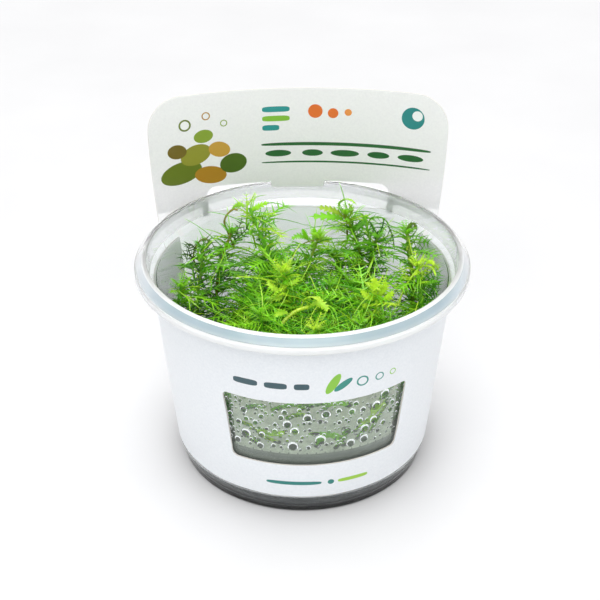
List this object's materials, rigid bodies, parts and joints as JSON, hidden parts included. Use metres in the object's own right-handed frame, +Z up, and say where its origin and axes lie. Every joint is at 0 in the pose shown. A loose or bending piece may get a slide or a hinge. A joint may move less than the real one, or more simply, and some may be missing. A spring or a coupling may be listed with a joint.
{
  "type": "tissue-cultured mermaid weed in a cup",
  "caption": "Young mermaid weed shoots on nutrient gel in a clear culture cup, wrapped in a printed card sleeve with a window and a tall header.",
  "frame": {"origin": "centre of the cup's flat bottom face", "axes": "+Z up along the cup's axis, -Y towards the front with the window, +Y towards the card's header"},
  "size_m": [0.095, 0.095, 0.097],
  "materials": {
    "clear_plastic": "clear, glossy, moulded",
    "card": "smooth coated white, printed",
    "gel": "dark translucent agar gel, moist",
    "leaf": "living plant tissue, fresh green, slightly waxy"
  },
  "bodies": {
    "root": {"cup": "clear_plastic", "sleeve": "card", "gel": "gel", "shoot_01": "leaf", "shoot_02": "leaf", "shoot_03": "leaf", "shoot_04": "leaf", "shoot_05": "leaf", "shoot_06": "leaf", "shoot_07": "leaf", "shoot_08": "leaf", "shoot_09": "leaf", "shoot_10": "leaf", "shoot_11": "leaf", "shoot_12": "leaf", "shoot_13": "leaf", "shoot_14": "leaf", "shoot_15": "leaf", "shoot_16": "leaf", "shoot_17": "leaf", "shoot_18": "leaf", "shoot_19": "leaf", "shoot_20": "leaf", "shoot_arching_rear": "leaf", "shoot_bronze_left": "leaf", "shoot_coiled_right": "leaf", "shoot_dark_left": "leaf", "shoot_lobed_middle": "leaf", "shoot_lobed_rear": "leaf", "shoot_long_right": "leaf", "shoot_pale_middle": "leaf", "shoot_star_right": "leaf", "shoot_tall_left": "leaf", "shoot_thick_front": "leaf"}
  },
  "joints": []
}
